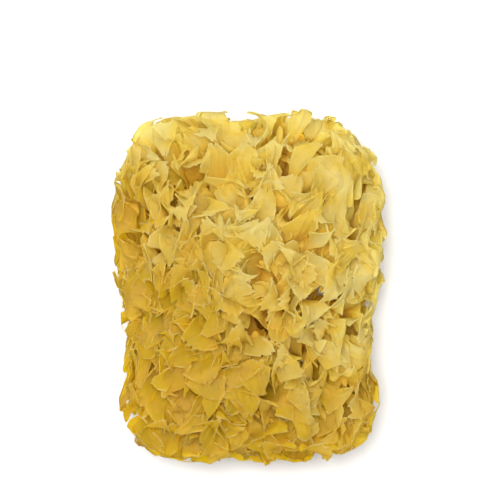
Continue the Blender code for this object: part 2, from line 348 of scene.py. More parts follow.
# The lobes and scallops of any margin, and the tears of its side edges
ANY_PHASE = 6                   # radians, about a whole turn
ANY_LOBE = 9                    # lobes that a margin may start past
LOBE_LEAST = 0.8
LOBE_SPREAD = 0.5
LOBE_UNEVEN = 0.22
LOBE_UNEVEN_RATE = 2.6
LOBE_SHARPNESS = 0.45
SCALLOPS = 2.6                  # to a lobe
SCALLOP_SHARPNESS = 0.7
NICKS = 6.3
NICK_SHARPNESS = 0.8
BACK_SHARE = 0.33               # of the lobes fold the other way
BACK_REACH = -0.8
TEAR_WIDTH = 0.0050             # between two tears of a side edge
TEAR_DEPTH = 0.16
TEAR_SHARPNESS = 0.6
NICK_WIDTH = 0.0019
NICK_DEPTH = 0.07
TEAR_LEAST = 0.7
TEAR_SPREAD = 0.6
TEAR_HOLD = 3                   # the power by which the tears stay at the edge

# Side lobes that branch off the faces of the fronds, and more of them that close the gaps between
# forks: their roots and tips as depths, their reaches in metres
SIDE_LOBES = (
    {"count": 400, "spacing": 0.0055, "root": (0.72, 0.88), "tip": (0.92, 1.04), "reach": (0.009, 0.015)},
    {"count": 230, "spacing": 0.0070, "root": (0.50, 0.70), "tip": (0.80, 0.91), "reach": (0.009, 0.0135)},
    {"count": 150, "spacing": 0.0080, "root": (0.22, 0.40), "tip": (0.48, 0.68), "reach": (0.008, 0.013)},
)
BORDER_LOBES = (
    {"count": 44, "spacing": 0.0050, "root": (0.45, 0.66), "tip": (0.72, 0.88), "reach": (0.011, 0.015)},
    {"count": 34, "spacing": 0.0050, "root": (0.24, 0.42), "tip": (0.46, 0.64), "reach": (0.011, 0.015)},
)
BORDER_REACH = 0.085            # how near a fork's border their roots lie
SIDE_LOBE_TRIES = 9000
SIDE_LOBE_HALF_WIDTH = (0.0050, 0.0088)
SIDE_LOBE_ACROSS = 0.9
SIDE_LOBE_FAN = (0.1, 0.4)      # the least fanning out, and what chance adds to it
SIDE_LOBE_SKEW = 0.5
SIDE_LOBE_CUP = 0.03
ROOT_APART = 0.030              # metres that the whole way outward counts for in a spacing
ROOT_HALF = 0.04
ROOT_BELOW = 0.03
ROOT_SUNK = 0.0003              # metres that a root starts behind its frond's face
MARGIN_LOBE_WIDTH = 0.0062
CORNER_REACH = 0.16
CORNER_ROUNDNESS = 2.4
BETWEEN_REACH = 0.78
SIDE_SCALLOP_DEPTH = 0.16
SIDE_NICK_DEPTH = 0.09
SIDE_LOBE_FLATNESS = 3.0        # 1 would rise evenly, and more lies flatter along its outer end
SIDE_LOBE_POWER = 1.1
SIDE_LOBE_TILT = 0.02
SIDE_RUFFLE = 0.005
SIDE_RUFFLE_WAVE = 0.0042
OPENED_ROOT = 0.38
OPENED_FROM = -0.05
OPENED_TO = 0.50
TURNED_TO = 0.6
ROOT_MARGIN = 0.002
SIDE_LOBE_COLUMNS = (9, 24)
SIDE_LOBE_ROWS = 8

# The skin of every membrane
MESH_STEP = 0.00080
CRUMPLES = (                    # how many waves, their least and most length, and their slope
    (7, 0.0070, 0.0120, 0.14),
    (9, 0.0030, 0.0055, 0.09),
    (4, 0.0120, 0.0200, 0.28),
)
CRUMPLE_FROM = 0.4
CRUMPLE_TO = 0.95
SKIN_THINS_FROM = 0.3
SKIN_ROOT = 0.00050             # thickness of a membrane near the stalk
SKIN_MARGIN = 0.00018
MARGIN_ANGLE = math.radians(75)
SOFT_FROM = 0.95                # the depth from which lobes are pressed flat
SOFT_ROOM = 0.05
STALK_AROUND = 29
STALK_ROWS = 9
STALK_TINT = 0.5
STALK_FROM_MARGIN = 0.004


def ease(low, high, value):
    """A smooth rise from 0 at low to 1 at high."""
    share = np.clip((value - low) / (high - low), 0, 1)
    return share * share * (3 - 2 * share)


def directions(spots):
    """How far out each spot of the disc lies, and its turn away from +Z and bearing round it."""
    away = np.linalg.norm(spots, axis=-1)
    held = away / (1 + (away / RIM_HOLD) ** RIM_SHARPNESS) ** (1 / RIM_SHARPNESS)
    turn = 2 * np.arcsin(held * math.sin(UNDER_TURN / 2))
    bearing = np.arctan2(spots[..., 1], spots[..., 0])
    return held, turn, bearing


def outer_places(spots):
    """Where the spots lie on the outside of the head: long, flat-faced and drawn in at its waist."""
    held, turn, bearing = directions(spots)
    cos, sin = np.cos(bearing), np.sin(bearing)
    square = (np.abs(cos) ** CORNER_POWER + np.abs(sin) ** CORNER_POWER) ** (-1 / CORNER_POWER)
    corner = 1 + (square - 1) * np.clip(held * CORNER_RISE, 0, 1) ** 2
    reach = np.abs(np.sin(turn)) ** FACE_POWER * corner
    y = HEAD_LENGTH / 2 * reach * sin
    waist = 1 - WAIST_DEPTH * np.exp(-((y - WAIST_PLACE) / WAIST_SPREAD) ** 2)
    x = HEAD_WIDTH / 2 * reach * cos * waist
    rise = np.sign(np.cos(turn)) * np.abs(np.cos(turn)) ** FACE_POWER
    z = (HEAD_HEIGHT + FROND_FLOOR) / 2 + (HEAD_HEIGHT - FROND_FLOOR) / 2 * rise
    return np.stack([x, y, z], axis=-1)


def base_places(spots):
    """Where the spots lie on the round of the base."""
    turn, bearing = directions(spots)[1:]
    x = BASE_RADIUS_X * np.sin(turn) * np.cos(bearing)
    y = BASE_RADIUS_Y * np.sin(turn) * np.sin(bearing)
    z = BASE_HEIGHT / 2 * (1 + np.cos(turn)) - CUT_DEPTH
    return np.stack([x, y, z], axis=-1)


def fork_centres():
    """Middles of the forks on the disc, spread evenly like the seeds of a sunflower."""
    number = np.arange(FORK_COUNT)
    away = FORK_SPREAD * np.sqrt(number / (FORK_COUNT - FIRST_RING))
    bearing = number * GOLDEN_ANGLE
    return np.stack([away * np.cos(bearing), away * np.sin(bearing)], axis=-1)


def make_bends(random, habit):
    """Waves that each move the disc along one way, by a sine of the place across that way."""
    bends = []
    shortest, longest = habit["waves"]
    for number in range(habit["count"]):
        heading = number * GOLDEN_ANGLE + BEND_JITTER * random.random()
        wave = shortest + (longest - shortest) * random.random()
        bends.append({
            "way": np.array([math.cos(heading), math.sin(heading)]),
            "rate": 2 * math.pi / wave,
            "size": habit["slope"] * wave / (2 * math.pi),
            "phase": 2 * math.pi * random.random(),
            "roll": habit["roll"] * (2 * random.random() - 1),
            "start": habit["start"],
            "power": habit["power"],
        })
    return bends


def bent(spots, depths, bends):
    """The spots after every bend. A bend grows from its start outward, and hardly past the limit."""
    spots = spots.copy()
    depths = np.minimum(depths, CURL_LIMIT) + CURL_AFTER * np.clip(depths - CURL_LIMIT, 0, None)
    for bend in bends:
        way = bend["way"]
        across = spots[..., 1] * way[0] - spots[..., 0] * way[1]
        growth = np.clip((depths - bend["start"]) / (1 - bend["start"]), 0, None) ** bend["power"]
        phase = bend["rate"] * across + bend["roll"] * depths + bend["phase"]
        spots += (bend["size"] * growth * np.sin(phase))[..., None] * way
    return spots


def places_of(spots, depths):
    """Where bent spots lie in the head at their depths: 0 on the base and 1 on the outside."""
    inner = base_places(spots)
    return inner + (outer_places(spots) - inner) * depths[..., None]


def arc_spots(frond, across):
    """Spots along a frond's arc, for places across it from -1 to 1."""
    along = frond["half"] * across
    sideways = frond["bow"] * frond["half"] * (across ** 2 - BOW_BALANCE)
    cos, sin = math.cos(frond["heading"]), math.sin(frond["heading"])
    x = frond["middle"][0] + cos * along - sin * sideways
    y = frond["middle"][1] + sin * along + cos * sideways
    return np.stack([x, y], axis=-1)


def fork_of(spots, centres, border):
    """The fork that all the spots belong to, or None where they cross or near a border."""
    distances = np.linalg.norm(spots[:, None] - centres, axis=-1)
    owners = np.argmin(distances, axis=1)
    nearest, second = np.sort(distances, axis=1)[:, :2].T
    if np.any(owners != owners[0]) or (second - nearest).min() / 2 < border:
        return None
    return int(owners[0])


def plan_fronds(random, centres):
    """Arcs on the disc that keep clear of each other and of the borders between forks."""
    across = np.linspace(-1, 1, FROND_SAMPLES)
    fronds = []
    taken = np.full((1, 2), FAR_OFF)
    for attempt in range(FROND_TRIES):
        if len(fronds) == FROND_COUNT:
            break
        away = math.sqrt(random.random())
        bearing = 2 * math.pi * random.random()
        frond = {
            "middle": np.array([away * math.cos(bearing), away * math.sin(bearing)]),
            "heading": bearing + math.pi / 2 + HEADING_SPREAD * random.normal(),
            "half": (FROND_HALF_WIDTH * (LENGTH_LEAST + LENGTH_SPREAD * random.random())
                     * (1 - attempt / (2 * FROND_TRIES))),
            "bow": BOW_USUAL + BOW_SPREAD * random.normal(),
            "top": FROND_TOP + TOP_SPREAD * random.random(),
        }
        spots = arc_spots(frond, across)
        frond["fork"] = fork_of(spots, centres, FORK_BORDER)
        if frond["fork"] is None or np.linalg.norm(spots, axis=-1).max() > DISC_EDGE:
            continue
        if np.linalg.norm(spots[:, None] - taken, axis=-1).min() < FROND_SPACING:
            continue
        fronds.append(frond)
        taken = np.vstack([taken, spots])
    return fronds


def metres_to_unit(spots, ways, depth):
    """How many metres one unit of the disc is at the spots, along the ways."""
    depths = np.full(spots.shape[:-1], depth)
    moved = places_of(spots + SCALE_STEP * ways, depths) - places_of(spots - SCALE_STEP * ways, depths)
    return np.maximum(np.linalg.norm(moved, axis=-1) / (2 * SCALE_STEP), LEAST_SCALE)


def plan_thin_fronds(random, centres, fronds):
    """Shorter arcs that fill the gaps evenly over the outside of the head, the longest first."""
    cover = np.linspace(-1, 1, COVER_SAMPLES)
    taken = np.vstack([outer_places(arc_spots(frond, cover)) for frond in fronds])
    thin = []
    for habit in THIN_FRONDS:
        made = 0
        for _ in range(THIN_TRIES):
            if made == habit["count"]:
                break
            away = THIN_EDGE * random.random() ** THIN_CROWDING
            bearing = 2 * math.pi * random.random()
            heading = math.pi * random.random()
            middle = np.array([away * math.cos(bearing), away * math.sin(bearing)])
            scale = metres_to_unit(middle, np.array([math.cos(heading), math.sin(heading)]), 1.0)
            half = habit["half"] * (THIN_LENGTH_LEAST + THIN_LENGTH_SPREAD * random.random())
            frond = {
                "middle": middle,
                "heading": heading,
                "half": half / scale,
                "bow": THIN_BOW_USUAL + THIN_BOW_SPREAD * random.normal(),
                "top": THIN_TOP + THIN_TOP_SPREAD * random.random(),
            }
            spots = arc_spots(frond, np.linspace(-1, 1, THIN_SAMPLES))
            frond["fork"] = fork_of(spots, centres, habit["border"])
            if frond["fork"] is None or np.linalg.norm(spots, axis=-1).max() > THIN_END_EDGE:
                continue
            places = outer_places(spots)
            if np.linalg.norm(places[:, None] - taken, axis=-1).min() < habit["spacing"]:
                continue
            thin.append(frond)
            taken = np.vstack([taken, places])
            made += 1
    return thin


def between(random, bounds):
    """A random value between a lowest and a highest one."""
    return bounds[0] + (bounds[1] - bounds[0]) * random.random()


def side_lobe_place(side_lobe):
    """Where a side lobe's root lies over the outside of the head, lifted by how far out it is."""
    place = outer_places(arc_spots(side_lobe["frond"], np.array([side_lobe["across"]])))[0]
    place[2] += ROOT_APART * side_lobe["root"]
    return place


def border_side(frond, across, centres):
    """Which side of its arc a frond turns to the next fork at a place, or None far from that fork."""
    spot = arc_spots(frond, np.array([across]))[0]
    distances = np.linalg.norm(spot - centres, axis=-1)
    nearest, second = np.argsort(distances)[:2]
    if (distances[second] - distances[nearest]) / 2 > BORDER_REACH:
        return None
    way = centres[second] - centres[nearest]
    return 1 if math.cos(frond["heading"]) * way[1] > math.sin(frond["heading"]) * way[0] else -1


def plan_side_lobes(random, fronds, habits, others=(), centres=None):
    """Side lobes clear of the others: where each one leaves its frond's face, and to which side.

    Where the centres of the forks are given, all lie near a fork's border and grow towards it.
    """
    side_lobes = []
    taken = np.array([side_lobe_place(side_lobe) for side_lobe in others] + [np.full(3, FAR_OFF)])
    ends = [outer_places(arc_spots(frond, np.linspace(-1, 1, THIN_SAMPLES))) for frond in fronds]
    weights = np.array([np.linalg.norm(np.diff(places, axis=0), axis=-1).sum() for places in ends])
    weights /= weights.sum()
    for habit in habits:
        made = 0
        for _ in range(SIDE_LOBE_TRIES):
            if made == habit["count"]:
                break
            frond = fronds[random.choice(len(fronds), p=weights)]
            side_lobe = {
                "frond": frond,
                "across": 2 * SIDE_LOBE_ACROSS * random.random() - SIDE_LOBE_ACROSS,
                "root": between(random, habit["root"]),
                "tip": between(random, habit["tip"]),
                "side": 1 if random.random() < 0.5 else -1,
                "half": between(random, SIDE_LOBE_HALF_WIDTH),
                "reach": between(random, habit["reach"]),
                "fan": SIDE_LOBE_FAN[0] + SIDE_LOBE_FAN[1] * random.random(),
                "skew": SIDE_LOBE_SKEW * random.normal(),
                "cup": 2 * SIDE_LOBE_CUP * random.random() - SIDE_LOBE_CUP,
            }
            if centres is not None:
                side_lobe["side"] = border_side(frond, side_lobe["across"], centres)
                if side_lobe["side"] is None:
                    continue
            place = side_lobe_place(side_lobe)
            if np.linalg.norm(place - taken, axis=-1).min() < habit["spacing"]:
                continue
            side_lobes.append(side_lobe)
            taken = np.vstack([taken, place])
            made += 1
    return side_lobes


def lean_side(frond):
    """Which side of its arc a frond folds over to: about outward, and turning from place to place."""
    x, y = frond["middle"]
    angle = math.atan2(y, x)
    for size, rate_x, rate_y, phase in LEAN_WAVES:
        angle += size * math.sin(rate_x * x + rate_y * y + phase)
    return 1 if math.cos(frond["heading"] + math.pi / 2 - angle) > 0 else -1


def lobed_margin(random, along, width):
    """Lobes of about a width, with sharp notches between them and crisp scallops, along a margin."""
    phase = along / (width * (LOBE_LEAST + LOBE_SPREAD * random.random())) + ANY_LOBE * random.random()
    phase = phase + LOBE_UNEVEN * np.sin(LOBE_UNEVEN_RATE * phase + ANY_PHASE * random.random())
    number = np.floor(phase).astype(int)
    number -= number.min()
    count = number.max() + 1
    return {
        "outline": np.abs(np.sin(math.pi * phase)) ** LOBE_SHARPNESS,
        "scallop": np.abs(np.sin(math.pi * (SCALLOPS * phase + random.random()))) ** SCALLOP_SHARPNESS,
        "nick": np.abs(np.sin(math.pi * (NICKS * phase + random.random()))) ** NICK_SHARPNESS,
        "reach": random.random(count)[number],
        "tilt": random.random(count)[number],
        "tint": random.random(count)[number],
        "way": np.where(random.random(count) < BACK_SHARE, BACK_REACH, 1.0)[number],
    }


def torn_side(random, along, across):
    """How far the two side edges of a membrane are torn back, as a share of its half width."""
    sides = []
    for _ in range(2):
        torn = 0
        for width, depth, sharpness in (
            (TEAR_WIDTH, TEAR_DEPTH, TEAR_SHARPNESS),
            (NICK_WIDTH, NICK_DEPTH, NICK_SHARPNESS),
        ):
            phase = along / width * (TEAR_LEAST + TEAR_SPREAD * random.random()) + random.random()
            torn = torn + depth * (1 - np.abs(np.sin(math.pi * phase)) ** sharpness)
        sides.append(torn)
    return np.where(across < 0, sides[0], sides[1]) * np.abs(across) ** TEAR_HOLD


def pressed(depths):
    """Depths with what would stand out of the head pressed flat to its outside."""
    flattened = SOFT_FROM + SOFT_ROOM * np.tanh((depths - SOFT_FROM) / SOFT_ROOM)
    return np.where(depths > SOFT_FROM, flattened, depths)


def fine_crumples(random):
    """Waves through the whole head that crumple every membrane, and make the head a little lumpy."""
    waves = []
    for count, shortest, longest, slope in CRUMPLES:
        for _ in range(count):
            run = random.normal(size=3)
            run /= np.linalg.norm(run)
            way = np.cross(run, random.normal(size=3))
            way /= np.linalg.norm(way)
            length = shortest + (longest - shortest) * random.random()
            waves.append((run * 2 * math.pi / length, way * slope * length / (2 * math.pi),
                          2 * math.pi * random.random()))
    return waves


def risen(frond, across, depths, centre, bends):
    """The bent spots of a frond's sheet, which opens like a fan from its stalk outward."""
    widths = ROOT_WIDTH + (1 - ROOT_WIDTH) * ease(FAN_FROM, FAN_TO, depths)
    spots = frond["middle"] + (arc_spots(frond, across) - frond["middle"]) * widths[..., None]
    gathers = GATHER_ROOT + (1 - GATHER_ROOT) * ease(GATHER_FROM, GATHER_TO, depths)
    return bent(centre + (spots - centre) * gathers[..., None], depths, bends)


def crest_depth(frond, across):
    """How deep in the head a frond's sheet ends and its lobes begin."""
    return frond["top"] * (1 - SIDE_DROP * np.abs(across) ** SIDE_POWER) - CREST_DROP


def membrane(spots, depths, margin, tint, crumples):
    """One membrane's grid of places in the head, with what its colour follows."""
    places = places_of(spots, depths)
    strength = ease(CRUMPLE_FROM, CRUMPLE_TO, depths)
    for run, way, phase in crumples:
        places = places + (strength * np.sin(places @ run + phase))[..., None] * way
    flat = np.ones_like(depths)
    return {"places": places, "depth": depths, "margin": margin * flat, "tint": tint * flat}


def ruffle_phase(random, along, lengths):
    """The phase of ruffles along a margin, with a chance length and a chance start."""
    return 2 * math.pi * along / (lengths[0] + lengths[1] * random.random()) + ANY_PHASE * random.random()


def frond_membrane(random, frond, centre, bends, crumples, rows, fold_reach):
    """A frond: it rises from its stalk to a crest, past which each of its lobes folds over."""
    guide = np.linspace(-1, 1, GUIDE_COUNT)
    line = risen(frond, guide, np.full(GUIDE_COUNT, float(crest_depth(frond, 0.5))), centre, bends)
    steps = np.diff(places_of(line, np.full(GUIDE_COUNT, LOBE_DEPTH)), axis=0)
    lengths = np.append(0, np.cumsum(np.linalg.norm(steps, axis=-1)))
    columns = int(np.clip(round(lengths[-1] / MESH_STEP), *FROND_COLUMNS))
    along = np.linspace(0, lengths[-1], columns + 1)
    across = np.interp(along, lengths, guide)
    tangent = np.stack([np.interp(across, guide, side) for side in np.gradient(line, axis=0).T], axis=-1)
    tangent /= np.linalg.norm(tangent, axis=-1, keepdims=True)
    normal = lean_side(frond) * np.stack([-tangent[:, 1], tangent[:, 0]], axis=-1)
    middles = np.stack([np.interp(across, guide, side) for side in line.T], axis=-1)
    scale = metres_to_unit(middles, normal, LOBE_DEPTH)

    lobe = lobed_margin(random, along, LOBE_WIDTH)
    side = np.sqrt(np.clip(1 - across ** END_POWER, 0, 1))
    crest = crest_depth(frond, across) + CREST_WAVE * lobe["outline"] - CREST_WAVE / 2
    lobe_reach = lobe["outline"] * (LOBE_REACH_LEAST + LOBE_REACH_SPREAD * lobe["reach"])
    reach = fold_reach * (NOTCH_REACH + (1 - NOTCH_REACH) * lobe_reach)
    reach = reach * (END_REACH + (1 - END_REACH) * side)
    reach = reach * (1 - SCALLOP_DEPTH * (1 - lobe["scallop"])) * (1 - CREST_NICK * (1 - lobe["nick"]))
    rows_in, rows_out = rows
    inner = np.linspace(0, 1, rows_in + 1)[:, None] ** RISE_CROWDING
    outer = np.linspace(0, 1, rows_out + 1)[1:, None]
    rising = FROND_ROOT + (crest - FROND_ROOT) * (1 - (1 - inner) ** RISE_POWER)
    ruffle = np.sin(ruffle_phase(random, along, LONG_RUFFLES) + RUFFLE_LAG * outer)
    ruffle += SHORT_RUFFLE_SHARE * np.sin(ruffle_phase(random, along, SHORT_RUFFLES))
    folding = crest + (LOBE_SINK + LOBE_TILT * lobe["tilt"]) * lobe["outline"] * outer
    folding = folding + FOLD_RUFFLE * ruffle * outer ** RUFFLE_POWER
    folding = folding + FOLD_CURL * (random.random() - CURL_BACK) * outer ** CURL_POWER
    height = (rising - FROND_ROOT) * HEAD_HEIGHT
    edged = across * (1 - torn_side(random, height, across))
    sheet = risen(frond, edged, rising, centre, bends)
    lobes = sheet[-1] + (outer ** FOLD_POWER * reach * lobe["way"] / scale)[..., None] * normal
    depths = pressed(np.vstack([rising, folding]))
    ends = (1 - np.abs(across)) * along[-1] / 2
    margin = np.minimum(np.vstack([np.ones_like(inner), 1 - outer]) * reach, ends)
    return membrane(np.vstack([sheet, lobes]), depths, margin, lobe["tint"], crumples)


def side_lobe_membrane(random, side_lobe, centre, bends, crumples):
    """A side lobe: it leaves its frond's face, opens like a fan and dries flat near the outside."""
    frond = side_lobe["frond"]
    root = min(side_lobe["root"], float(crest_depth(frond, side_lobe["across"])) - ROOT_BELOW)
    near = np.clip(side_lobe["across"] + np.array([-ROOT_HALF, ROOT_HALF]), -1, 1)
    start, end = risen(frond, near, np.full(2, root), centre, bends)
    tangent = (end - start) / np.linalg.norm(end - start)
    normal = side_lobe["side"] * np.array([-tangent[1], tangent[0]])

    middle = (start + end) / 2
    scale_across = metres_to_unit(middle, tangent, side_lobe["tip"])
    scale_out = metres_to_unit(middle, normal, side_lobe["tip"])

    columns = int(np.clip(round(2 * side_lobe["half"] / MESH_STEP), *SIDE_LOBE_COLUMNS))
    across = np.linspace(-1, 1, columns + 1)
    share = np.linspace(0, 1, SIDE_LOBE_ROWS + 1)[:, None]
    lobe = lobed_margin(random, across * side_lobe["half"], MARGIN_LOBE_WIDTH)
    side = np.sqrt(np.clip(1 - np.abs(across) ** CORNER_ROUNDNESS, 0, 1))
    reach = side_lobe["reach"] * (CORNER_REACH + (1 - CORNER_REACH) * side)
    reach = reach * (BETWEEN_REACH + (1 - BETWEEN_REACH) * lobe["outline"])
    reach = reach * (1 - SIDE_SCALLOP_DEPTH * (1 - lobe["scallop"]))
    reach = reach * (1 - SIDE_NICK_DEPTH * (1 - lobe["nick"]))
    depths = root + (side_lobe["tip"] - root) * (1 - (1 - share) ** SIDE_LOBE_FLATNESS)
    depths = depths + SIDE_LOBE_TILT * (lobe["tilt"] - 0.5) * share ** 2
    waves = 2 * math.pi * across * side_lobe["half"] / SIDE_RUFFLE_WAVE
    ruffle = np.sin(waves + ANY_PHASE * random.random() + share)
    depths = depths + side_lobe["cup"] * across ** 2 * share
    depths = pressed(depths + SIDE_RUFFLE * ruffle * share ** RUFFLE_POWER)
    opened = OPENED_ROOT + (1 - OPENED_ROOT) * ease(OPENED_FROM, OPENED_TO, share)
    turn = side_lobe["skew"] * ease(0, TURNED_TO, share) - side_lobe["fan"] * across * share
    out = share ** SIDE_LOBE_POWER * reach - ROOT_SUNK
    edged = across * (1 - torn_side(random, share * side_lobe["reach"], across))
    wide = edged * opened * side_lobe["half"] + out * np.sin(turn)
    spots = middle + (wide / scale_across)[..., None] * tangent
    spots = spots + (out * np.cos(turn) / scale_out)[..., None] * normal
    to_side = (1 - np.abs(across)) * side_lobe["half"] + ROOT_MARGIN * (1 - share)
    margin = np.minimum((1 - share) * reach, to_side)
    return membrane(spots, depths, margin, lobe["tint"], crumples)


def stalk_membrane(centre, bends):
    """The stalk of a fork, closed at its top, from inside the base to where the fronds part."""
    around = np.linspace(0, 2 * math.pi, STALK_AROUND)
    share = np.append(np.linspace(0, 1, STALK_ROWS), 1.0)[:, None]
    radius = STALK_RADIUS * (STALK_TAPER + (1 - STALK_TAPER) * share)
    radius[-1] = 0.0
    spots = centre + np.stack([radius * np.cos(around), radius * np.sin(around)], axis=-1)
    depths = (STALK_ROOT + (STALK_TOP - STALK_ROOT) * share) * np.ones_like(around)
    flat = np.ones_like(depths)
    return {
        "places": places_of(bent(spots, depths, bends), depths),
        "depth": depths,
        "margin": STALK_FROM_MARGIN * flat,
        "tint": STALK_TINT * flat,
    }


def closed_skin(grid):
    """The two faces and the rim of one membrane, thinning towards its margin."""
    places = grid["places"]
    normals = np.cross(np.gradient(places, axis=0), np.gradient(places, axis=1))
    normals /= np.linalg.norm(normals, axis=-1, keepdims=True) + 1e-12
    thickness = SKIN_MARGIN + (SKIN_ROOT - SKIN_MARGIN) * (1 - ease(SKIN_THINS_FROM, 1.0, grid["depth"]))
    offset = normals * thickness[..., None] / 2
    corners = np.concatenate([(places + offset).reshape(-1, 3), (places - offset).reshape(-1, 3)])
    rows, columns = grid["depth"].shape
    count = rows * columns
    index = np.arange(count).reshape(rows, columns)
    front = np.stack([index[:-1, :-1], index[:-1, 1:], index[1:, 1:], index[1:, :-1]], axis=-1)
    front = front.reshape(-1, 4)
    border = np.concatenate([index[0, :], index[1:, -1], index[-1, -2::-1], index[-2:0:-1, 0]])
    after = np.roll(border, -1)
    rim = np.stack([after, border, border + count, after + count], axis=-1)
    faces = np.concatenate([front, front[:, ::-1] + count, rim])
    values = {name: np.tile(grid[name].reshape(-1), 2) for name in ("depth", "margin", "tint")}
    return corners, faces, values


def fork_mesh(name, grids):
    """One mesh of all the membranes of a fork."""
    skins = [closed_skin(grid) for grid in grids]
    starts = np.cumsum([0] + [len(corners) for corners, *_ in skins])
    corners = np.concatenate([corners for corners, *_ in skins])
    faces = np.concatenate([faces + start for (_, faces, _), start in zip(skins, starts)])
    mesh = bpy.data.meshes.new(name)
    mesh.vertices.add(len(corners))
    mesh.vertices.foreach_set("co", corners.astype(np.float32).ravel())
    mesh.loops.add(faces.size)
    mesh.loops.foreach_set("vertex_index", faces.astype(np.int32).ravel())
    mesh.polygons.add(len(faces))
    mesh.polygons.foreach_set("loop_start", (np.arange(len(faces)) * 4).astype(np.int32))
    mesh.update(calc_edges=True)
    mesh.validate()
    mesh.shade_smooth()
    mesh.set_sharp_from_angle(angle=MARGIN_ANGLE)
    for label in ("depth", "margin", "tint"):
        attribute = mesh.attributes.new(label, "FLOAT", "POINT")
        joined = np.concatenate([values[label] for *_, values in skins])
        attribute.data.foreach_set("value", joined.astype(np.float32))
    return mesh


# Colours by depth in the head: amber at the heart, as the base of a dried head is, with painted shade that
# makes the deep layers darker and more orange than the outer ones
HEART_AND_DEPTH_SHADE_COLOURS = (
    (0.20, (0.97, 0.62, 0.040, 1)),
    (0.60, (0.97, 0.74, 0.090, 1)),
    (0.82, (0.96, 0.84, 0.250, 1)),
    (0.96, (0.95, 0.88, 0.440, 1)),
)
DEEP_GOLD = (0.87, 0.70, 0.022, 1)
PALE_STRAW = (0.95, 0.90, 0.520, 1)
# Partly painted highlight: the thin margins are paler, and their pale colour also stands in for the light
# that the edges of the membranes catch
MARGIN_CREAM_AND_HIGHLIGHT = (0.96, 0.93, 0.640, 1)
AMBER_BLOOM = (0.94, 0.74, 0.150, 1)
MARGIN_WIDTH = 0.0008
GOLD_SLOPE = (-4.0, -4.4, 0.0)   # the head turns deeper gold towards its lower left, per metre
GLOW = 0.80                     # how much of the light passes through a membrane's faces


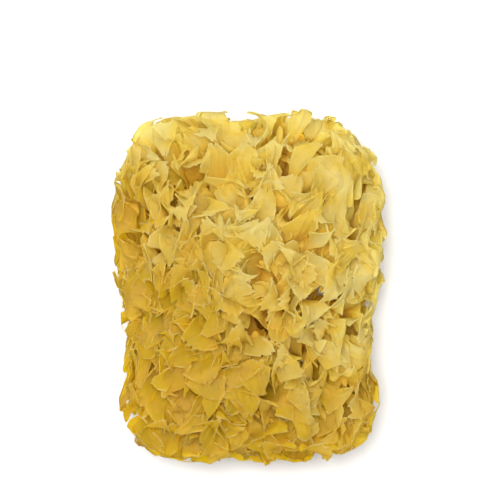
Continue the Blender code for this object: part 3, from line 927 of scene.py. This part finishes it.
def frond_material():
    """Dried jelly: golden and translucent, amber down at the heart and deepened there by painted shade,
    and pale at the thin margin, partly by a painted highlight.
    """
    material = bpy.data.materials.new("dried frond membrane")
    material.use_nodes = True
    tree = material.node_tree
    shader = tree.nodes["Principled BSDF"]
    shader.inputs["Specular IOR Level"].default_value = 0.22
    place = add_node(tree, "ShaderNodeTexCoord")
    depth, margin, tint = (add_node(tree, "ShaderNodeAttribute", attribute_name=name)
                           for name in ("depth", "margin", "tint"))
    heart_and_depth_shade = add_node(tree, "ShaderNodeValToRGB")
    for number, (position, colour) in enumerate(HEART_AND_DEPTH_SHADE_COLOURS):
        stops = heart_and_depth_shade.color_ramp.elements
        stop = stops[number] if number < 2 else stops.new(position)
        stop.position = position
        stop.color = colour
    patch = add_node(tree, "ShaderNodeTexNoise", values={"Scale": 30.0, "Detail": 2.0})
    slope = add_node(tree, "ShaderNodeVectorMath", operation="DOT_PRODUCT")
    slope.inputs[1].default_value = GOLD_SLOPE
    older = add_node(tree, "ShaderNodeMath", operation="ADD")
    gold_share = add_node(tree, "ShaderNodeMapRange", interpolation_type="SMOOTHSTEP",
                          values={"From Min": 0.33, "From Max": 0.69, "To Max": 0.90})
    gold = add_node(tree, "ShaderNodeMix", data_type="RGBA", values={"B": DEEP_GOLD})
    # Only the outer layers take the pale straw and the pale margin, which leaves the painted shade on the
    # deep layers
    outer = add_node(tree, "ShaderNodeMapRange", interpolation_type="SMOOTHSTEP",
                     values={"From Min": 0.70, "From Max": 0.93})
    straw_share = add_node(tree, "ShaderNodeMapRange", values={"From Min": 0.45, "To Max": 0.65})
    straw_outer = add_node(tree, "ShaderNodeMath", operation="MULTIPLY")
    straw = add_node(tree, "ShaderNodeMix", data_type="RGBA", values={"B": PALE_STRAW})
    # Painted highlight, partly: the pale margin within MARGIN_WIDTH of the edge of the outer layers
    margin_highlight_share = add_node(tree, "ShaderNodeMapRange",
                           values={"From Max": MARGIN_WIDTH, "To Min": 0.7, "To Max": 0.0})
    outer_margin_highlight = add_node(tree, "ShaderNodeMath", operation="MULTIPLY")
    margin_cream_and_highlight = add_node(tree, "ShaderNodeMix", data_type="RGBA", values={"B": MARGIN_CREAM_AND_HIGHLIGHT})
    bloom = add_group(tree, ageing, place, Aged=AMBER_BLOOM, Patch_Scale=90.0,
                      Mottle_Scale=420.0, Age=-0.06)
    folds = add_group(tree, wrinkles, place, Crumple_Scale=750.0, Crease_Scale=230.0,
                      Crease_Width=0.10)
    rough = add_node(tree, "ShaderNodeMapRange", values={"To Min": 0.38, "To Max": 0.62})
    bump = add_node(tree, "ShaderNodeBump", values={"Strength": 0.6, "Distance": 0.0004})
    glow = add_node(tree, "ShaderNodeBsdfTranslucent")
    both = add_node(tree, "ShaderNodeMixShader", values={"Fac": GLOW})
    tree.links.new(place.outputs["Object"], patch.inputs["Vector"])
    tree.links.new(place.outputs["Object"], slope.inputs[0])
    tree.links.new(patch.outputs["Fac"], older.inputs[0])
    tree.links.new(slope.outputs["Value"], older.inputs[1])
    tree.links.new(older.outputs["Value"], gold_share.inputs["Value"])
    tree.links.new(gold_share.outputs["Result"], gold.inputs["Factor"])
    tree.links.new(depth.outputs["Fac"], heart_and_depth_shade.inputs["Fac"])
    tree.links.new(straw.outputs["Result"], gold.inputs["A"])
    tree.links.new(depth.outputs["Fac"], outer.inputs["Value"])
    for value, share, both_shares, colour, under in (
        (tint, straw_share, straw_outer, straw, heart_and_depth_shade),
        (margin, margin_highlight_share, outer_margin_highlight, margin_cream_and_highlight, gold),
    ):
        tree.links.new(value.outputs["Fac"], share.inputs["Value"])
        tree.links.new(share.outputs["Result"], both_shares.inputs[0])
        tree.links.new(outer.outputs["Result"], both_shares.inputs[1])
        tree.links.new(both_shares.outputs["Value"], colour.inputs["Factor"])
        tree.links.new(under.outputs[0 if under is heart_and_depth_shade else "Result"], colour.inputs["A"])
    tree.links.new(margin_cream_and_highlight.outputs["Result"], bloom.inputs["Fresh"])
    tree.links.new(bloom.outputs["Colour"], shader.inputs["Base Color"])
    tree.links.new(margin_cream_and_highlight.outputs["Result"], glow.inputs["Color"])
    tree.links.new(folds.outputs["Height"], rough.inputs["Value"])
    tree.links.new(rough.outputs["Result"], shader.inputs["Roughness"])
    tree.links.new(folds.outputs["Height"], bump.inputs["Height"])
    tree.links.new(bump.outputs["Normal"], shader.inputs["Normal"])
    tree.links.new(shader.outputs["BSDF"], both.inputs[1])
    tree.links.new(glow.outputs["BSDF"], both.inputs[2])
    tree.links.new(both.outputs["Shader"], tree.nodes["Material Output"].inputs["Surface"])
    return material


centres = fork_centres()
main_fronds = plan_fronds(np.random.default_rng(GROWTH_SEED), centres)
bend_random = np.random.default_rng([GROWTH_SEED, 1])
stalk_bends = make_bends(bend_random, SWAY) + make_bends(bend_random, CURL)
fine_random = np.random.default_rng([GROWTH_SEED, 2])
frond_bends = stalk_bends + make_bends(fine_random, RUFFLE)
thin_fronds = plan_thin_fronds(fine_random, centres, main_fronds)
side_lobes = plan_side_lobes(fine_random, main_fronds + thin_fronds, SIDE_LOBES)
crumples = fine_crumples(fine_random)

fork_grids = [[stalk_membrane(centre, stalk_bends)] for centre in centres]
for fronds, rows, fold_reach in (
    (main_fronds, FROND_ROWS, FOLD_REACH),
    (thin_fronds, THIN_ROWS, THIN_FOLD_REACH),
):
    for frond in fronds:
        fork = frond["fork"]
        reach = fold_reach * (FOLD_LEAST + FOLD_SPREAD * fine_random.random())
        fork_grids[fork].append(
            frond_membrane(fine_random, frond, centres[fork], frond_bends, crumples, rows, reach))

gap_random = np.random.default_rng([GROWTH_SEED, 3])
border_lobes = plan_side_lobes(gap_random, main_fronds + thin_fronds, BORDER_LOBES, side_lobes, centres)
for own_random, planned in ((fine_random, side_lobes), (gap_random, border_lobes)):
    for side_lobe in planned:
        fork = side_lobe["frond"]["fork"]
        fork_grids[fork].append(
            side_lobe_membrane(own_random, side_lobe, centres[fork], frond_bends, crumples))

skin = frond_material()
for number, grids in enumerate(fork_grids):
    mesh = fork_mesh(f"fronds_{number + 1:02d}", grids)
    mesh.materials.append(skin)
    show_piece(mesh, f"frond_cluster_{number + 1:02d}")

# The table
# The table is a plain, pale, painted top. The head rests on it by its cut, far from the table's
# edges.

TABLE_REACH = 3
TABLE_COLOUR = (0.86, 0.86, 0.85, 1)
TABLE_ROUGHNESS = 0.8

table_mesh = bpy.data.meshes.new("table")
table_corners = [(x * TABLE_REACH, y * TABLE_REACH, 0) for x, y in ((-1, -1), (1, -1), (1, 1), (-1, 1))]
table_mesh.from_pydata(table_corners, [], [(0, 1, 2, 3)])
table = bpy.data.objects.new("table", table_mesh)
bpy.context.scene.collection.objects.link(table)
table_paint = bpy.data.materials.new("pale table")
table_paint.use_nodes = True
paint_shader = table_paint.node_tree.nodes["Principled BSDF"]
paint_shader.inputs["Base Color"].default_value = TABLE_COLOUR
paint_shader.inputs["Roughness"].default_value = TABLE_ROUGHNESS
table_mesh.materials.append(table_paint)

# The light
# Soft white studio light from all round. Most comes from a large lamp almost overhead, with a
# weaker window light at the upper left and a faint fill at the lower right.

ROOM_COLOUR = (1.0, 0.99, 0.97, 1)
ROOM_STRENGTH = 0.42
LAMPS = (                       # place, watts and width of each
    ("overhead_light", (-0.06, 0.09, 1.25), 16.0, 0.5),
    ("window_light", (-0.40, 0.42, 0.70), 2.8, 0.7),
    ("fill_light", (0.70, -0.40, 0.80), 1.0, 0.9),
)

world = bpy.data.worlds.new("studio")
bpy.context.scene.world = world
world.use_nodes = True
world.node_tree.nodes["Background"].inputs["Color"].default_value = ROOM_COLOUR
world.node_tree.nodes["Background"].inputs["Strength"].default_value = ROOM_STRENGTH

for name, place, power, size in LAMPS:
    lamp = bpy.data.lights.new(name, "AREA")
    lamp.energy = power
    lamp.size = size
    light = bpy.data.objects.new(name, lamp)
    light.location = place
    light.rotation_euler = Vector(place).to_track_quat("Z", "Y").to_euler()
    bpy.context.scene.collection.objects.link(light)

# The camera
# The camera looks straight down from high above the head. The spot under it is the one in the
# middle of the photograph, and the frame is as wide as the photograph at the head's middle.

FRAME_WIDTH = 0.215
VIEW_SPOT = (0.0006, 0.0159)
CAMERA_HEIGHT = 1.10
HEAD_MIDDLE = 0.030             # height at which the frame width is measured
SENSOR_WIDTH = 36.0

lens = bpy.data.cameras.new("camera")
lens.sensor_width = SENSOR_WIDTH
lens.lens = SENSOR_WIDTH * (CAMERA_HEIGHT - HEAD_MIDDLE) / FRAME_WIDTH
camera = bpy.data.objects.new("camera", lens)
camera.location = (*VIEW_SPOT, CAMERA_HEIGHT)
bpy.context.scene.collection.objects.link(camera)
bpy.context.scene.camera = camera
bpy.context.scene.view_settings.view_transform = "Standard"
